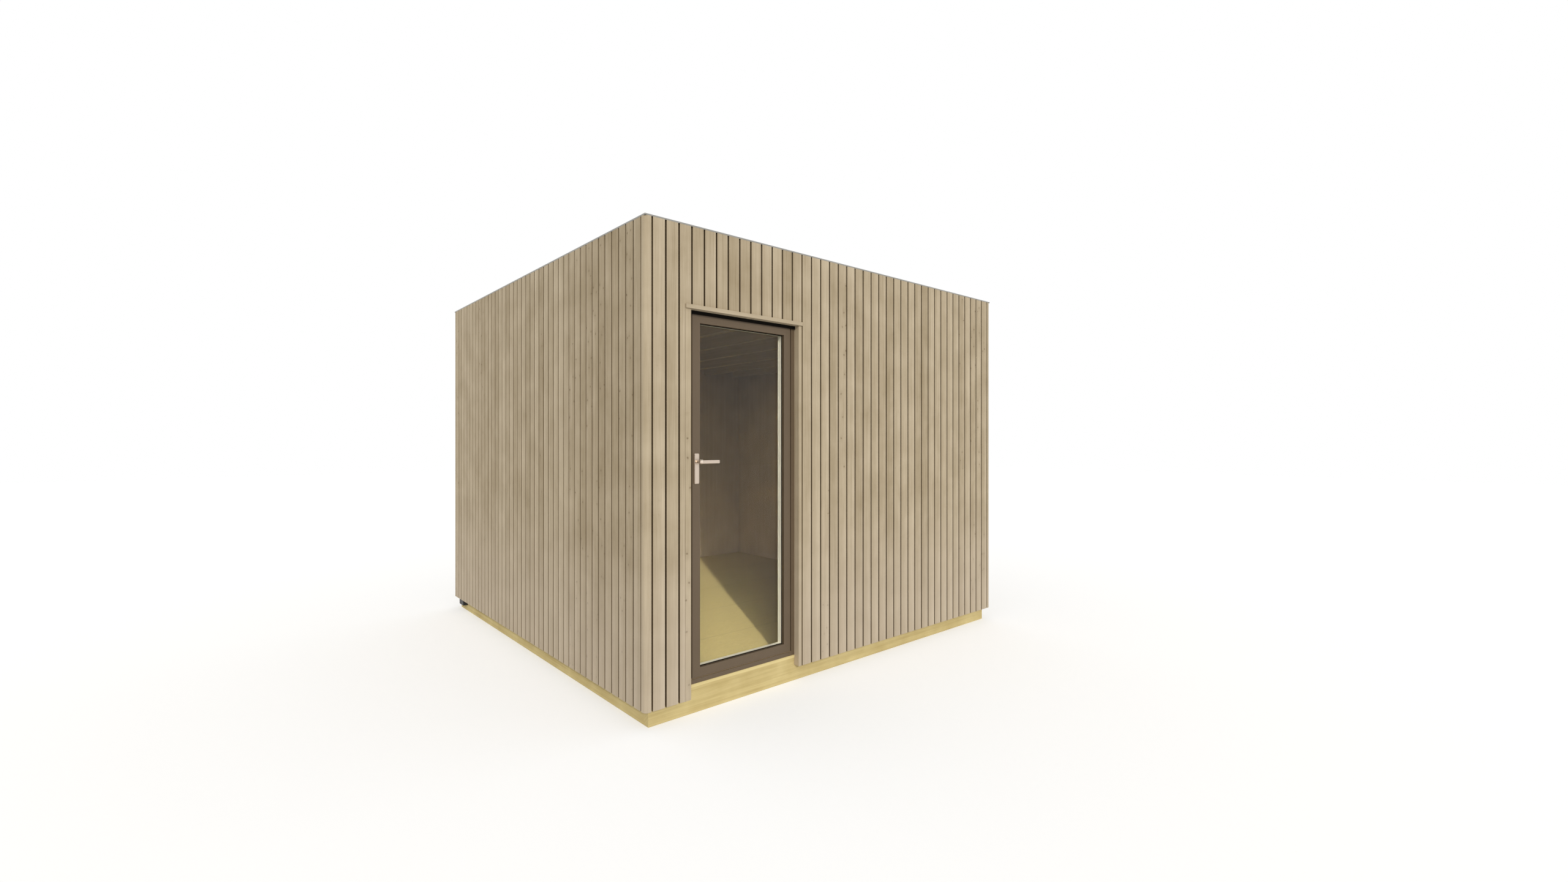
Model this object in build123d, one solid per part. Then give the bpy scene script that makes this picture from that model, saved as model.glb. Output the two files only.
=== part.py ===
from build123d import *
import os

# Garden studio: a timber room on a timber base, clad in vertical boards, with a flat roof behind a
# parapet and one glazed door that opens inwards. The front wall faces -Y, the base stands on Z = 0,
# and the origin is the centre of the footprint. All sizes are millimetres.

# Overall size, over the faces of the cladding
front_width = 3205
side_depth = 3365
overall_height = 2620

# Base and floor
base_height = 140
base_inset = 45
bearer_thickness = 45
joist_thickness = 45
joist_spacing = 400
floor_thickness = 18

# Walls, from the outside in: boards on battens, then a framed and lined panel
cladding_depth = 37.5
panel_thickness = 92
cladding_bottom = 96
trim_width = 37.5
corner_radius = 22
trim_radius = 4
right_trim_width = 21.5
header_bottom = 2175
header_height = 21
header_projection = 10

# Roof
room_height = 2059
roof_joist_height = 95
roof_deck_thickness = 18
insulation_high = 110
insulation_low = 70
membrane_thickness = 3
membrane_top_gap = 10
edge_metal = 2
edge_outer_lip = 8
edge_inner_lip = 30

# Doorway and door frame. The frame is one rebated profile: an outer lip and a narrower back part.
door_from_left = 278
door_clear_width = 778
frame_height = 2059
frame_behind_trim = 20
frame_setback = 43
frame_depth = 54
frame_lip_width = 46.5
threshold_lip_width = 23
lip_thickness = 9
leaf_lap = 10
rebate_gap = 10
threshold_gap = 6
face_gap = 5
seal_height = 19
seal_thickness = 3
seal_gap = 5

# Door leaf. Its face is level with the frame's, inside the frame's lip. The profile widens behind
# that lip and ends in a flange that laps the frame inside.
leaf_edge_gap = 7
stile_width = 67.5
glass_setback = 21
glass_thickness = 24
bead_width = 12
bead_chamfer = 6
glass_edge_gap = 2
flange_lap = 16
flange_bottom_lap = 8
flange_thickness = 7

# Hinges: a pin and two knuckles on the frame, one knuckle on the leaf
hinge_pin_radius = 3.5
hinge_web_margin = 1
hinge_barrel_radius = 7
hinge_fit = 0.05
hinge_knuckle_gap = 0.5
leaf_knuckle_height = 46
frame_knuckle_height = 24
hinge_axis_from_frame_edge = 10
hinge_plate_width = 48
hinge_plate_thickness = 3
hinge_end_distance = 210

# Lever handle
handle_height = 1358
plate_width = 31
plate_bottom = 1238
plate_top = 1404
plate_thickness = 9
plate_corner_radius = 7
plate_edge_chamfer = 2.7
spindle_size = 8
spindle_hole_radius = 6.5
spindle_stile_hole_radius = 7
lever_running_gap = 0.3
lever_length = 132
lever_projection = 53
lever_bar_height = 20
lever_bar_depth = 12
lever_section_radius = 4.8
lever_tip_chamfer = 3.6
lever_neck_radius = 8
lever_collar_radius = 11
lever_collar_height = 5
lever_bend_radius = 14

# Door sill board
sill_projection = 2
sill_nose = 4

# Cable entry box on the rear of the left base bearer
entry_width = 110
entry_height = 43
entry_depth = 38
entry_bottom = 48
entry_from_back = 120
entry_radius = 4

# Places that follow from the sizes above
left_face = -front_width / 2
right_face = front_width / 2
front_face = -(side_depth - header_projection) / 2
back_face = front_face + side_depth
wall_depth = cladding_depth + panel_thickness
floor_top = base_height + floor_thickness
room_top = floor_top + room_height
joist_top = room_top + roof_joist_height
deck_top = joist_top + roof_deck_thickness
wall_top = overall_height - edge_metal
cladding_top = overall_height - edge_outer_lip
room_left = left_face + wall_depth
room_right = right_face - wall_depth
room_front = front_face + wall_depth
room_back = back_face - wall_depth

opening_left = left_face + door_from_left
opening_right = opening_left + door_clear_width
frame_left = opening_left - frame_behind_trim
frame_right = opening_right + frame_behind_trim
frame_bottom = floor_top
frame_top = frame_bottom + frame_height
frame_face = front_face + frame_setback
frame_back = frame_face + frame_depth
lip_back = frame_face + lip_thickness
header_top = header_bottom + header_height
frame_back_width = frame_lip_width - leaf_lap - rebate_gap
threshold_back_width = threshold_lip_width - leaf_lap - threshold_gap

leaf_face = frame_face
leaf_step = lip_back + face_gap
leaf_back = frame_back + face_gap + flange_thickness
leaf_left = frame_left + frame_lip_width - leaf_lap
leaf_right = frame_right - frame_lip_width + leaf_lap
leaf_bottom = frame_bottom + threshold_lip_width - leaf_lap
leaf_top = frame_top - frame_lip_width + leaf_lap
glass_face = leaf_face + glass_setback
glass_back = glass_face + glass_thickness
bead_line = stile_width - bead_width
step_inset = leaf_lap + leaf_edge_gap
flange_face = leaf_back - flange_thickness

hinge_x = frame_right - hinge_axis_from_frame_edge
hinge_y = leaf_back + hinge_plate_thickness / 2
handle_x = leaf_left + (step_inset + stile_width) / 2


def block(x0, x1, y0, y1, z0, z1):
    """Return a plain block between two corners."""
    return Pos((x0 + x1) / 2, (y0 + y1) / 2, (z0 + z1) / 2) * Box(x1 - x0, y1 - y0, z1 - z0)


def ring(outer, inner, y0, y1):
    """Return a flat rectangular ring; outer and inner are (x0, x1, z0, z1)."""
    body = block(outer[0], outer[1], y0, y1, outer[2], outer[3])
    return body - block(inner[0], inner[1], y0 - 1, y1 + 1, inner[2], inner[3])


def inset(rectangle, amount):
    """Return the rectangle (x0, x1, z0, z1) made smaller by an amount on all sides."""
    x0, x1, z0, z1 = rectangle
    return (x0 + amount, x1 - amount, z0 + amount, z1 - amount)


def prism_along_y(points, y0, y1):
    """Extrude an outline given in X and Z from y0 to y1."""
    outline = make_face(Polyline(*[(x, y0, z) for x, z in points], close=True))
    return extrude(outline, amount=y1 - y0, dir=(0, 1, 0))


def prism_along_x(points, x0, x1):
    """Extrude an outline given in Y and Z from x0 to x1."""
    outline = make_face(Polyline(*[(x0, y, z) for y, z in points], close=True))
    return extrude(outline, amount=x1 - x0, dir=(1, 0, 0))


def prism_along_z(points, z0, z1):
    """Extrude an outline given in X and Y from z0 to z1."""
    outline = make_face(Polyline(*[(x, y, z0) for x, y in points], close=True))
    return extrude(outline, amount=z1 - z0, dir=(0, 0, 1))


def rod(x, y, z0, z1, radius):
    """Return an upright rod."""
    return Pos(x, y, (z0 + z1) / 2) * Cylinder(radius, z1 - z0)


def cross_rod(x, y0, y1, z, radius):
    """Return a rod that lies along Y."""
    return Pos(x, (y0 + y1) / 2, z) * Rot(90, 0, 0) * Cylinder(radius, y1 - y0)


def joist_lines(x0, x1):
    """Return the centre of each joist between x0 and x1, evenly about the middle."""
    clear = x1 - x0 - joist_thickness
    count = int(clear // joist_spacing) + 1
    start = (x0 + x1) / 2 - (count - 1) * joist_spacing / 2
    return [start + index * joist_spacing for index in range(count)]


def save(name, shape):
    """Write one piece."""
    solids = shape.solids()
    export_step(solids[0] if len(solids) == 1 else Compound(children=solids), f"parts/{name}.step")


def build_base():
    """Make the bearers, the floor joists, the floor panel and the door sill."""
    outer_left = left_face + base_inset
    outer_right = right_face - base_inset
    outer_front = front_face + base_inset
    outer_back = back_face - base_inset
    inner_front = outer_front + bearer_thickness
    inner_back = outer_back - bearer_thickness
    inner_left = outer_left + bearer_thickness
    inner_right = outer_right - bearer_thickness
    save("base_front_bearer", block(outer_left, outer_right, outer_front, inner_front, 0, base_height))
    save("base_back_bearer", block(outer_left, outer_right, inner_back, outer_back, 0, base_height))
    save("base_left_bearer", block(outer_left, inner_left, inner_front, inner_back, 0, base_height))
    save("base_right_bearer", block(inner_right, outer_right, inner_front, inner_back, 0, base_height))

    half = joist_thickness / 2
    joists = [
        block(x - half, x + half, inner_front, inner_back, 0, base_height)
        for x in joist_lines(inner_left, inner_right)
    ]
    save("floor_joists", Compound(children=joists))

    sill_front = outer_front - sill_projection
    sill_space = block(opening_left, opening_right, outer_front, frame_back, base_height, floor_top)
    floor = block(outer_left, outer_right, outer_front, outer_back, base_height, floor_top)
    save("floor_panel", floor - sill_space)

    sill_outline = [
        (sill_front, base_height),
        (frame_back, base_height),
        (frame_back, floor_top),
        (sill_front + sill_nose, floor_top),
        (sill_front, floor_top - sill_nose),
    ]
    save("door_sill", prism_along_x(sill_outline, opening_left, opening_right))

    entry_back = back_face - entry_from_back
    entry = block(
        outer_left - entry_depth,
        outer_left,
        entry_back - entry_width,
        entry_back,
        entry_bottom,
        entry_bottom + entry_height,
    )
    outer_edges = entry.edges().filter_by(Axis.X) + entry.faces().sort_by(Axis.X)[0].edges()
    save("cable_entry_box", fillet(outer_edges, entry_radius))


def build_walls():
    """Make the wall panels and the layer of boards and battens on each."""
    panel_left = left_face + cladding_depth
    panel_right = right_face - cladding_depth
    panel_front = front_face + cladding_depth
    panel_back = back_face - cladding_depth
    save("left_wall", block(panel_left, room_left, room_front, room_back, floor_top, wall_top))
    save("right_wall", block(room_right, panel_right, room_front, room_back, floor_top, wall_top))
    save("back_wall", block(panel_left, panel_right, room_back, panel_back, floor_top, wall_top))
    save("front_wall_left", block(panel_left, frame_left, panel_front, room_front, floor_top, wall_top))
    save("front_wall_right", block(frame_right, panel_right, panel_front, room_front, floor_top, wall_top))
    save("front_wall_over_door", block(frame_left, frame_right, panel_front, room_front, frame_top, wall_top))

    boards_left = left_face + trim_width
    boards_right = right_face - trim_width
    boards_front = front_face + trim_width
    boards_back = back_face - trim_width
    trim_left = opening_left - trim_width
    trim_right = opening_right + right_trim_width
    skins = {
        "left_cladding": (left_face, panel_left, boards_front, boards_back, cladding_bottom),
        "right_cladding": (panel_right, right_face, boards_front, boards_back, cladding_bottom),
        "back_cladding": (boards_left, boards_right, panel_back, back_face, cladding_bottom),
        "front_cladding_left": (boards_left, trim_left, front_face, panel_front, cladding_bottom),
        "front_cladding_right": (trim_right, boards_right, front_face, panel_front, cladding_bottom),
        "front_cladding_over_door": (trim_left, trim_right, front_face, panel_front, header_top),
    }
    for name, (x0, x1, y0, y1, bottom) in skins.items():
        save(name, block(x0, x1, y0, y1, bottom, cladding_top))


def build_trims():
    """Make the rounded corner posts and the trims round the doorway."""
    corners = {
        "corner_trim_front_left": (left_face, front_face, 1, 1),
        "corner_trim_front_right": (right_face, front_face, -1, 1),
        "corner_trim_back_left": (left_face, back_face, 1, -1),
        "corner_trim_back_right": (right_face, back_face, -1, -1),
    }
    for name, (x, y, inward_x, inward_y) in corners.items():
        inner_x = x + inward_x * trim_width
        inner_y = y + inward_y * trim_width
        post = block(
            min(x, inner_x), max(x, inner_x), min(y, inner_y), max(y, inner_y), cladding_bottom, cladding_top
        )
        outer_edge = post.edges().filter_by(Axis.Z).sort_by_distance((x, y, overall_height / 2))[0]
        save(name, fillet(outer_edge, corner_radius))

    # Each door trim laps the frame with a rebate in its back.
    sides = {
        "door_trim_left": (opening_left, -1, trim_width),
        "door_trim_right": (opening_right, 1, right_trim_width),
    }
    for name, (inner_x, outward, width) in sides.items():
        outline = [
            (inner_x, front_face),
            (inner_x + outward * width, front_face),
            (inner_x + outward * width, front_face + cladding_depth),
            (inner_x + outward * frame_behind_trim, front_face + cladding_depth),
            (inner_x + outward * frame_behind_trim, frame_face),
            (inner_x, frame_face),
        ]
        trim = prism_along_z(outline, cladding_bottom, header_bottom)
        nose = trim.edges().filter_by(Axis.Z).sort_by_distance((inner_x, front_face, header_bottom / 2))[0]
        save(name, fillet(nose, trim_radius))

    # The header has a tongue in its back that closes the space over the frame.
    panel_front = front_face + cladding_depth
    header = block(
        opening_left - trim_width,
        opening_right + right_trim_width,
        front_face - header_projection,
        panel_front,
        header_bottom,
        header_top,
    )
    header += block(frame_left, frame_right, panel_front, frame_face, header_bottom, frame_top)
    save("door_header_trim", header)


def build_roof():
    """Make the joists, the deck, the sloping insulation, the membrane and the metal edge."""
    half = joist_thickness / 2
    joists = [
        block(x - half, x + half, room_front, room_back, room_top, joist_top)
        for x in joist_lines(room_left, room_right)
    ]
    save("roof_joists", Compound(children=joists))
    save("roof_deck", block(room_left, room_right, room_front, room_back, joist_top, deck_top))

    fall_front = deck_top + insulation_high
    fall_back = deck_top + insulation_low
    insulation_outline = [
        (room_front, deck_top),
        (room_back, deck_top),
        (room_back, fall_back),
        (room_front, fall_front),
    ]
    save("roof_insulation", prism_along_x(insulation_outline, room_left, room_right))

    upstand_top = wall_top - membrane_top_gap
    outside = [
        (room_front, fall_front),
        (room_back, fall_back),
        (room_back, upstand_top),
        (room_front, upstand_top),
    ]
    inside = [
        (room_front + membrane_thickness, fall_front + membrane_thickness),
        (room_back - membrane_thickness, fall_back + membrane_thickness),
        (room_back - membrane_thickness, overall_height),
        (room_front + membrane_thickness, overall_height),
    ]
    tray = prism_along_x(outside, room_left, room_right)
    tray -= prism_along_x(inside, room_left + membrane_thickness, room_right - membrane_thickness)
    save("roof_membrane", tray)

    outer = (left_face, right_face, front_face, back_face)
    top_inset = wall_depth + membrane_thickness + edge_metal
    plate = flat_ring(outer, top_inset, overall_height - edge_metal, overall_height)
    outer_lip = flat_ring(outer, edge_metal, cladding_top, overall_height)
    lip_ring = inset(outer, top_inset - edge_metal)
    inner_lip = flat_ring(lip_ring, edge_metal, overall_height - edge_inner_lip, overall_height)
    save("roof_edge_trim", plate + outer_lip + inner_lip)


def flat_ring(rectangle, width, z0, z1):
    """Return a level rectangular ring; rectangle is (x0, x1, y0, y1)."""
    hole = inset(rectangle, width)
    return block(*rectangle, z0, z1) - block(*hole, z0 - 1, z1 + 1)


def build_frame():
    """Make the door frame: mitred jambs and head, a butted threshold, and the seal over the head."""
    outer = (frame_left, frame_right, frame_bottom, frame_top)
    corner_left = frame_left + frame_lip_width
    corner_right = frame_right - frame_lip_width
    head_corner = frame_top - frame_lip_width
    lip = ring(outer, (corner_left, corner_right, frame_bottom - 1, head_corner), frame_face, lip_back)
    rebate = (
        frame_left + frame_back_width,
        frame_right - frame_back_width,
        frame_bottom - 1,
        frame_top - frame_back_width,
    )
    surround = lip + ring(outer, rebate, lip_back, frame_back)
    head_outline = [
        (frame_left, frame_top),
        (corner_left, head_corner),
        (corner_right, head_corner),
        (frame_right, frame_top),
    ]
    head_zone = prism_along_y(head_outline, frame_face - 1, frame_back + 1)
    middle = (frame_left + frame_right) / 2
    left_zone = block(frame_left, middle, frame_face - 1, frame_back + 1, frame_bottom, frame_top)
    right_zone = block(middle, frame_right, frame_face - 1, frame_back + 1, frame_bottom, frame_top)
    save("frame_head", surround & head_zone)
    save("frame_jamb_left", (surround & left_zone) - head_zone)
    save("frame_jamb_right", (surround & right_zone) - head_zone)

    lip_top = frame_bottom + threshold_lip_width
    back_top = frame_bottom + threshold_back_width
    threshold = block(corner_left, corner_right, frame_face, lip_back, frame_bottom, lip_top)
    threshold += block(rebate[0], rebate[1], lip_back, frame_back, frame_bottom, back_top)
    save("frame_threshold", threshold)

    seal = block(
        opening_left,
        opening_right,
        frame_face - seal_gap - seal_thickness,
        frame_face - seal_gap,
        header_bottom - seal_height,
        header_bottom,
    )
    save("head_seal", seal)


def mitred_zones(rectangle, width, y0, y1):
    """Return the four mitred zones of a rectangular frame of one width."""
    x0, x1, z0, z1 = rectangle
    outlines = {
        "left": [(x0, z0), (x0 + width, z0 + width), (x0 + width, z1 - width), (x0, z1)],
        "right": [(x1, z0), (x1, z1), (x1 - width, z1 - width), (x1 - width, z0 + width)],
        "bottom": [(x0, z0), (x1, z0), (x1 - width, z0 + width), (x0 + width, z0 + width)],
        "top": [(x0, z1), (x0 + width, z1 - width), (x1 - width, z1 - width), (x1, z1)],
    }
    return {side: prism_along_y(outline, y0, y1) for side, outline in outlines.items()}


def build_leaf():
    """Make the door leaf: four mitred members, the glazing unit and the inner beads."""
    body = (leaf_left, leaf_right, leaf_bottom, leaf_top)
    visible_glass = inset(body, stile_width)
    bead_opening = inset(body, bead_line)
    flange = (leaf_left - flange_lap, leaf_right + flange_lap, leaf_bottom - flange_bottom_lap, leaf_top + flange_lap)
    surround = ring(inset(body, step_inset), visible_glass, leaf_face, leaf_step)
    surround += ring(body, visible_glass, leaf_step, glass_face)
    surround += ring(body, bead_opening, glass_face, leaf_back)
    surround += ring(flange, body, flange_face, leaf_back)
    zones = mitred_zones(inset(body, -flange_lap), flange_lap + stile_width, leaf_face - 1, leaf_back + 1)
    spindle_way = cross_rod(handle_x, leaf_face - 1, leaf_back + 1, handle_height, spindle_stile_hole_radius)
    save("leaf_lock_stile", (surround & zones["left"]) - spindle_way)
    save("leaf_hinge_stile", surround & zones["right"])
    save("leaf_bottom_rail", surround & zones["bottom"])
    save("leaf_top_rail", surround & zones["top"])

    x0, x1, z0, z1 = inset(bead_opening, glass_edge_gap)
    save("glass_pane", block(x0, x1, glass_face, glass_back, z0, z1))

    beads = ring(bead_opening, visible_glass, glass_back, leaf_back)
    room_side = beads.faces().sort_by(Axis.Y)[-1]
    inner_edges = room_side.inner_wires()[0].edges()
    save("glazing_beads", chamfer(inner_edges, bead_chamfer))


def hinge_heights():
    """Return the middle height of each hinge."""
    low = leaf_bottom + hinge_end_distance
    high = leaf_top - hinge_end_distance
    return [low, (low + high) / 2, high]


def build_hinges():
    """Make the leaf's bored knuckles and the frame's knuckles with their pins."""
    leaf_parts = []
    frame_parts = []
    plate_left = hinge_x - hinge_plate_width
    web_half = hinge_pin_radius + hinge_web_margin
    for height in hinge_heights():
        low = height - leaf_knuckle_height / 2
        high = height + leaf_knuckle_height / 2
        knuckle = rod(hinge_x, hinge_y, low, high, hinge_barrel_radius)
        knuckle += block(plate_left, hinge_x, leaf_back, leaf_back + hinge_plate_thickness, low, high)
        bore = rod(hinge_x, hinge_y, low - 1, high + 1, hinge_pin_radius + hinge_fit)
        leaf_parts.append(knuckle - bore)

        bottom = low - hinge_knuckle_gap - frame_knuckle_height
        top = high + hinge_knuckle_gap + frame_knuckle_height
        fixed = rod(hinge_x, hinge_y, bottom, top, hinge_pin_radius)
        for z0, z1 in ((bottom, bottom + frame_knuckle_height), (top - frame_knuckle_height, top)):
            fixed += rod(hinge_x, hinge_y, z0, z1, hinge_barrel_radius)
            fixed += block(hinge_x - web_half, hinge_x + web_half, frame_back, hinge_y, z0, z1)
        frame_parts.append(fixed)
    save("leaf_hinges", Compound(children=leaf_parts))
    save("frame_hinges", Compound(children=frame_parts))


def handle_plate(face, outward):
    """Return a handle plate on a face of the leaf; outward is -1 outside and 1 inside."""
    half = plate_width / 2
    low = min(face, face + outward * plate_thickness)
    high = max(face, face + outward * plate_thickness)
    plate = block(handle_x - half, handle_x + half, low, high, plate_bottom, plate_top)
    plate = fillet(plate.edges().filter_by(Axis.Y), plate_corner_radius)
    shown = plate.faces().sort_by(Axis.Y)[0 if outward < 0 else -1]
    plate = chamfer(shown.edges(), plate_edge_chamfer)
    return plate - cross_rod(handle_x, low - 1, high + 1, handle_height, spindle_hole_radius)


def lever(plate_face, leaf_side_face, outward):
    """Return a lever: a collar and neck that turn into a flat bar along +X."""
    start = plate_face + outward * lever_running_gap
    bar_y = leaf_side_face + outward * (lever_projection - lever_bar_depth / 2)
    collar_end = start + outward * lever_collar_height
    collar = cross_rod(handle_x, min(start, collar_end), max(start, collar_end), handle_height, lever_collar_radius)
    bend_start = bar_y - outward * lever_bend_radius
    neck = cross_rod(handle_x, min(start, bend_start), max(start, bend_start), handle_height, lever_neck_radius)

    bar_end = handle_x + lever_length - lever_bar_height / 2
    turn = RadiusArc(
        (handle_x, bend_start, handle_height),
        (handle_x + lever_bend_radius, bar_y, handle_height),
        lever_bend_radius * outward,
    )
    run = Line(turn @ 1, (bar_end, bar_y, handle_height))
    path = turn + run
    across = Plane(origin=turn @ 0, x_dir=(1, 0, 0), z_dir=(0, outward, 0))
    section = across * RectangleRounded(lever_bar_depth, lever_bar_height, lever_section_radius)
    bar = sweep(section, path=path)
    tip = bar.faces().sort_by(Axis.X)[-1]
    bar = chamfer(tip.edges(), lever_tip_chamfer)
    return collar + neck + bar


def build_handle():
    """Make both handle plates, both levers and the spindle that joins them."""
    outside_plate_face = leaf_face - plate_thickness
    inside_plate_face = leaf_back + plate_thickness
    save("handle_plate_outside", handle_plate(leaf_face, -1))
    save("handle_plate_inside", handle_plate(leaf_back, 1))
    save("lever_outside", lever(outside_plate_face, leaf_face, -1))
    save("lever_inside", lever(inside_plate_face, leaf_back, 1))
    half = spindle_size / 2
    spindle = block(
        handle_x - half,
        handle_x + half,
        outside_plate_face - lever_running_gap,
        inside_plate_face + lever_running_gap,
        handle_height - half,
        handle_height + half,
    )
    save("spindle", spindle)


os.makedirs("parts", exist_ok=True)
build_base()
build_walls()
build_trims()
build_roof()
build_frame()
build_leaf()
build_hinges()
build_handle()
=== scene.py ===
"""Garden studio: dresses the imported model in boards, glass, foil, metal and light.

Lengths are metres in the row's frame: the front wall faces -Y and the base stands on Z = 0.
"""

import logging
import math
import random
from dataclasses import dataclass, field, replace
from enum import Enum
from functools import reduce

import bmesh
import bpy
from mathutils import Matrix, Vector


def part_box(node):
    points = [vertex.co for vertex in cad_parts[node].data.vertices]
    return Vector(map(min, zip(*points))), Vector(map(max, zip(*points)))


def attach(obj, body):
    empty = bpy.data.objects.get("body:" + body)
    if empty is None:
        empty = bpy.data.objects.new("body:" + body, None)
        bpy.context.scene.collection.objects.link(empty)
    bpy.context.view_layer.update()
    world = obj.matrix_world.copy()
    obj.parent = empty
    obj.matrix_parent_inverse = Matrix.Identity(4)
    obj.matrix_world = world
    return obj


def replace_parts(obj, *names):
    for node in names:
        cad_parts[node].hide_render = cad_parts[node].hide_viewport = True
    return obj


logging.basicConfig(level=logging.INFO, format="%(name)s: %(message)s")
log = logging.getLogger("garden_studio")

Material = bpy.types.Material
Node = bpy.types.Node
Face = bmesh.types.BMFace
Socket = bpy.types.NodeSocket
Colour = tuple[float, float, float, float]
Span = tuple[float, float]

SOCKET_KINDS = {3: "NodeSocketVector", 4: "NodeSocketColor"}
KEEPS_POSITIVE = 10.0


def srgb(*channels: int) -> Colour:
    """Turn a display colour into a linear one.

    Args:
        *channels: Red, green and blue from 0 to 255.

    Returns:
        The linear colour with full alpha.
    """
    shares = [channel / 255 for channel in channels]
    linear = [share / 12.92 if share <= 0.04045 else ((share + 0.055) / 1.055) ** 2.4 for share in shares]
    return (*linear, 1.0)


def show(name: str, data: bpy.types.ID) -> bpy.types.Object:
    """Make an object of some data and link it to the scene.

    Args:
        name: Its name.
        data: A mesh, a light or a camera.

    Returns:
        The object.
    """
    made = bpy.data.objects.new(name, data)
    bpy.context.scene.collection.objects.link(made)
    return made


class Lie(Enum):
    """Which way a piece's grain runs: the two axes across it, then the one along it."""

    UPRIGHT = (0, 1, 2)
    ALONG_X = (2, 1, 0)
    ALONG_Y = (2, 0, 1)


class ShaderGraph:
    """Adds nodes to one node tree and joins them in short calls."""

    def __init__(self, tree: bpy.types.NodeTree) -> None:
        """Keep the tree of a material, a world or a node group."""
        self.tree = tree

    def add(self, kind: str, feeds: dict[int | str, object] | None = None, **settings: object) -> Node:
        """Add one node.

        Args:
            kind: The node's type name.
            feeds: A socket or a value for each of some inputs.
            **settings: Properties to set on it.

        Returns:
            The new node.
        """
        node = self.tree.nodes.new(kind)
        for name, value in settings.items():
            setattr(node, name, value)
        for key, source in (feeds or {}).items():
            self.feed(node.inputs[key], source)
        return node

    def feed(self, target: Socket, source: object) -> None:
        """Link an input to an output socket, or set its value.

        Args:
            target: The input socket.
            source: An output socket, a number or a tuple.
        """
        if isinstance(source, Socket):
            self.tree.links.new(source, target)
        else:
            target.default_value = source

    def math(self, operation: str, *operands: object) -> Socket:
        """Add a Math node on sockets or numbers and return its result."""
        return self.add("ShaderNodeMath", dict(enumerate(operands)), operation=operation).outputs[0]

    def plus(self, *values: object) -> Socket:
        """Add values up in order."""
        return reduce(lambda total, value: self.math("ADD", total, value), values)

    def times(self, *values: object) -> Socket:
        """Multiply values in order."""
        return reduce(lambda total, value: self.math("MULTIPLY", total, value), values)

    def minus(self, first: object, second: object) -> Socket:
        """Take the second value from the first."""
        return self.math("SUBTRACT", first, second)

    def place(self) -> Socket:
        """Return the object's own coordinates."""
        return self.add("ShaderNodeTexCoord").outputs["Object"]

    def parts(self, vector: Socket) -> list[Socket]:
        """Split a vector into X, Y and Z."""
        return list(self.add("ShaderNodeSeparateXYZ", {0: vector}).outputs)

    def vector(self, *parts: object) -> Socket:
        """Join three numbers or sockets into a vector."""
        return self.add("ShaderNodeCombineXYZ", dict(enumerate(parts))).outputs[0]

    def vector_math(self, operation: str, *operands: object) -> Node:
        """Add a Vector Math node and return the node."""
        return self.add("ShaderNodeVectorMath", dict(enumerate(operands)), operation=operation)

    def attribute(self, name: str) -> Socket:
        """Return a number that the mesh holds."""
        return self.add("ShaderNodeAttribute", attribute_name=name).outputs["Fac"]

    def noise(self, vector: Socket, scale: object, detail: float = 2.0, roughness: float = 0.5) -> Socket:
        """Add a noise texture with some octaves and return its value, about 0.5 on average."""
        feeds = {"Vector": vector, "Scale": scale, "Detail": detail, "Roughness": roughness}
        return self.add("ShaderNodeTexNoise", feeds).outputs["Fac"]

    def step(self, value: Socket, span: Span, to: Span = (0.0, 1.0)) -> Socket:
        """Add a smooth step over a span of a value, from one result to the other."""
        feeds = {"Value": value, "From Min": span[0], "From Max": span[1], "To Min": to[0], "To Max": to[1]}
        return self.add("ShaderNodeMapRange", feeds, interpolation_type="SMOOTHSTEP").outputs["Result"]

    def mix(self, share: Socket, first: object, second: object) -> Socket:
        """Mix two colours by the share of the second."""
        return self.add("ShaderNodeMix", {0: share, 6: first, 7: second}, data_type="RGBA").outputs[2]

    def joints(self, along: Socket, pitch: float, span: Span) -> Socket:
        """Mark thin joints at an even pitch.

        Args:
            along: The place across the joints.
            pitch: From one joint to the next.
            span: Where a joint starts and is full, in pitches from the middle between two joints.

        Returns:
            1 in a joint and 0 elsewhere.
        """
        run = self.math("DIVIDE", self.plus(along, KEEPS_POSITIVE), pitch)
        return self.step(self.math("ABSOLUTE", self.minus(self.math("FRACT", run), 0.5)), span)

    def surface(self, shader: Node, colour: Socket, roughness: Socket, height: Socket, bump: Span) -> None:
        """Give a shader its colour, roughness and relief.

        Args:
            shader: The Principled shader.
            colour: The colour.
            roughness: The roughness.
            height: The height of the relief, from 0 to 1.
            bump: How much of the relief shows, and the depth of a full step.
        """
        feeds = {"Strength": bump[0], "Distance": bump[1], "Height": height}
        normal = self.add("ShaderNodeBump", feeds).outputs["Normal"]
        for label, source in (("Base Color", colour), ("Roughness", roughness), ("Normal", normal)):
            self.feed(shader.inputs[label], source)

    def seen_directly(self, strength: float) -> Socket:
        """Limit a strength to rays that see a surface directly, in glass or in metal.

        Args:
            strength: The strength for those rays.

        Returns:
            The strength, or 0 for all other rays.
        """
        path = self.add("ShaderNodeLightPath").outputs
        seen = self.math("MAXIMUM", path["Is Camera Ray"], path["Is Glossy Ray"])
        return self.times(self.math("MAXIMUM", seen, path["Is Transmission Ray"]), strength)


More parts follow.
